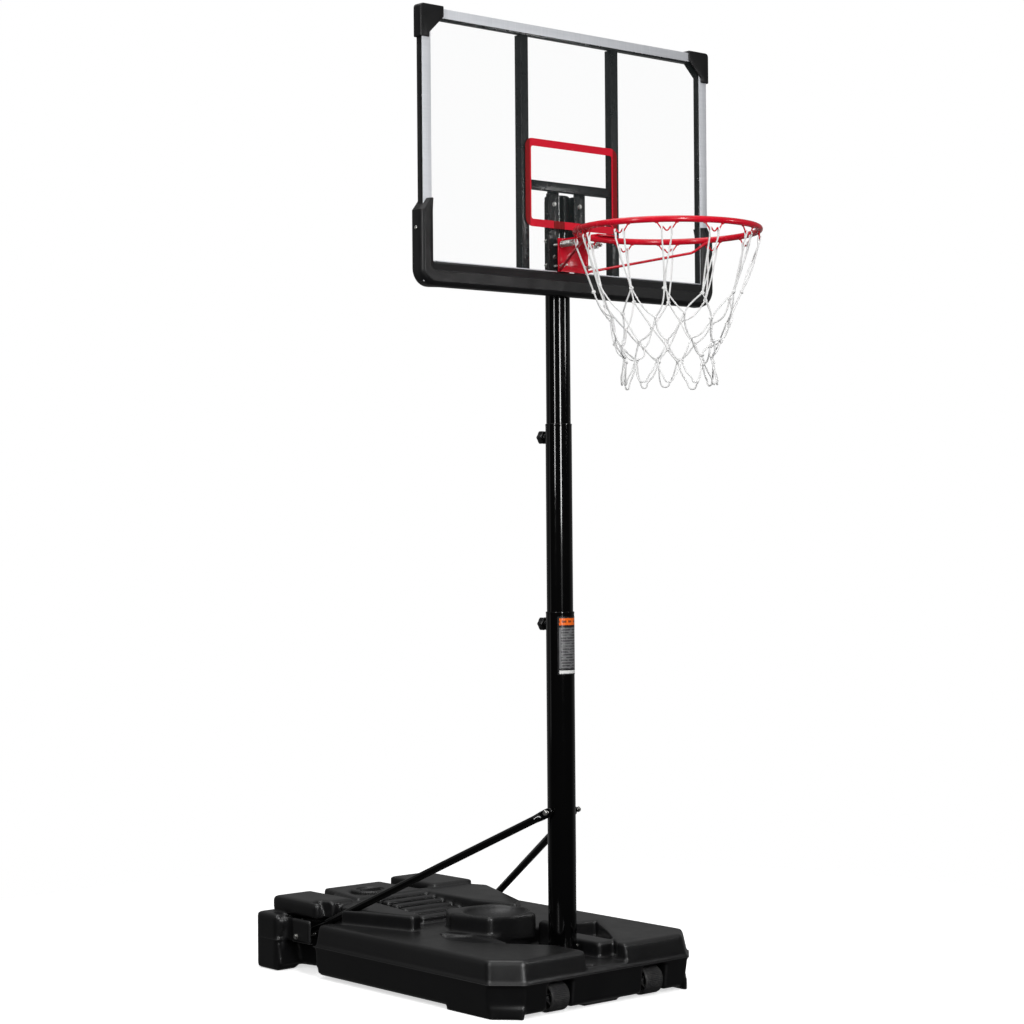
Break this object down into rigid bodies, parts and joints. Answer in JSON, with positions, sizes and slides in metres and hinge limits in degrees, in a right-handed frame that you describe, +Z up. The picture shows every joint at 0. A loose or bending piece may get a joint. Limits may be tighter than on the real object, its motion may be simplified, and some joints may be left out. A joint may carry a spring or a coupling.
{
  "type": "portable basketball hoop",
  "caption": "Portable basketball hoop with a ballast tank base on wheels, a telescoping pole with clamp knobs, a framed clear backboard and a sprung rim with a net.",
  "frame": {"origin": "on the floor, under the axis of the pole", "axes": "+Z up along the pole, +X to the player's right when facing the board, -Y from the board towards the rim and the player"},
  "size_m": [1.0466, 1.5565, 2.568],
  "materials": {
    "moulded_plastic": "matte",
    "wheel_plastic": "matte",
    "pole_enamel": "gloss",
    "frame_enamel": "satin",
    "pad_plastic": "satin",
    "rim_enamel": "gloss",
    "print_red": "satin",
    "trim_aluminium": "satin",
    "zinc_steel": "satin",
    "clear_polycarbonate": "gloss",
    "net_cord": "matte",
    "label_vinyl": "satin"
  },
  "bodies": {
    "base": {"base_tank": "moulded_plastic", "wheel_axle": "zinc_steel", "brace_left": "pole_enamel", "brace_right": "pole_enamel", "brace_foot_bolt_left": "zinc_steel", "brace_foot_bolt_right": "zinc_steel", "brace_top_bolt": "zinc_steel", "pole_foot_bolt": "zinc_steel", "pole_lower_tube": "pole_enamel", "lower_bushing": "wheel_plastic", "pole_sticker": "label_vinyl"},
    "fill_cap": {"fill_cap": "moulded_plastic"},
    "wheel_left": {"wheel_left": "wheel_plastic"},
    "wheel_right": {"wheel_right": "wheel_plastic"},
    "lower_knob": {"lower_knob": "moulded_plastic"},
    "mast_middle": {"pole_middle_tube": "pole_enamel", "middle_bushing": "wheel_plastic"},
    "middle_knob": {"middle_knob": "moulded_plastic"},
    "head": {"pole_upper_tube": "pole_enamel", "upper_tube_cap": "wheel_plastic", "backboard_sheet": "clear_polycarbonate", "target_square": "print_red", "bottom_pad": "pad_plastic", "corner_cap_left": "pad_plastic", "corner_cap_right": "pad_plastic", "frame_rail_top": "frame_enamel", "frame_rail_bottom": "frame_enamel", "frame_rail_left": "frame_enamel", "frame_rail_right": "frame_enamel", "vertical_rail_left": "frame_enamel", "vertical_rail_right": "frame_enamel", "frame_crossbar": "frame_enamel", "mount_strap_left": "frame_enamel", "mount_strap_right": "frame_enamel", "mount_ear_left": "frame_enamel", "mount_ear_right": "frame_enamel", "trim_top": "trim_aluminium", "trim_bottom": "trim_aluminium", "trim_left": "trim_aluminium", "trim_right": "trim_aluminium", "strap_bolt_lower_left": "zinc_steel", "strap_bolt_lower_right": "zinc_steel", "strap_bolt_upper_left": "zinc_steel", "strap_bolt_upper_right": "zinc_steel", "cross_bolt_lower": "zinc_steel", "cross_bolt_upper": "zinc_steel", "rim_lower_bolt_left": "zinc_steel", "rim_lower_bolt_right": "zinc_steel", "rim_spring_bolt_left": "zinc_steel", "rim_spring_bolt_right": "zinc_steel", "pad_screw_left": "zinc_steel", "pad_screw_right": "zinc_steel", "rim_spring_left": "zinc_steel", "rim_spring_right": "zinc_steel"},
    "rim": {"rim_bracket": "rim_enamel", "rim_ring": "rim_enamel", "rim_brace_left": "rim_enamel", "rim_brace_right": "rim_enamel", "net": "net_cord"}
  },
  "joints": [
    {"name": "middle_tube_slide", "type": "slide", "parent": "base", "child": "mast_middle", "axis": [0, 0, 1], "range_m": [0, 0.36]},
    {"name": "upper_tube_slide", "type": "slide", "parent": "mast_middle", "child": "head", "axis": [0, 0, 1], "range_m": [-0.36, 0.36]},
    {"name": "rim_flex", "type": "hinge", "parent": "head", "child": "rim", "pos_m": [0, -0.0608, 1.9225], "axis": [1, 0, 0], "range_deg": [0, 12], "stiffness_Nm_per_rad": 220, "springref_deg": -14.32, "deforming": ["rim_spring_left", "rim_spring_right"]},
    {"name": "lower_knob_turn", "type": "hinge", "parent": "base", "child": "lower_knob", "pos_m": [0, 0.0378, 0.9886], "axis": [0, 1, 0], "continuous": true},
    {"name": "middle_knob_turn", "type": "hinge", "parent": "mast_middle", "child": "middle_knob", "pos_m": [0, 0.0352, 1.4896], "axis": [0, 1, 0], "continuous": true},
    {"name": "fill_cap_turn", "type": "hinge", "parent": "base", "child": "fill_cap", "pos_m": [-0.085, 0.733, 0.205], "axis": [0, 0, 1], "continuous": true},
    {"name": "wheel_left_roll", "type": "hinge", "parent": "base", "child": "wheel_left", "pos_m": [-0.1675, -0.143, 0.0405], "axis": [1, 0, 0], "continuous": true},
    {"name": "wheel_right_roll", "type": "hinge", "parent": "base", "child": "wheel_right", "pos_m": [0.1675, -0.143, 0.0405], "axis": [1, 0, 0], "continuous": true}
  ]
}
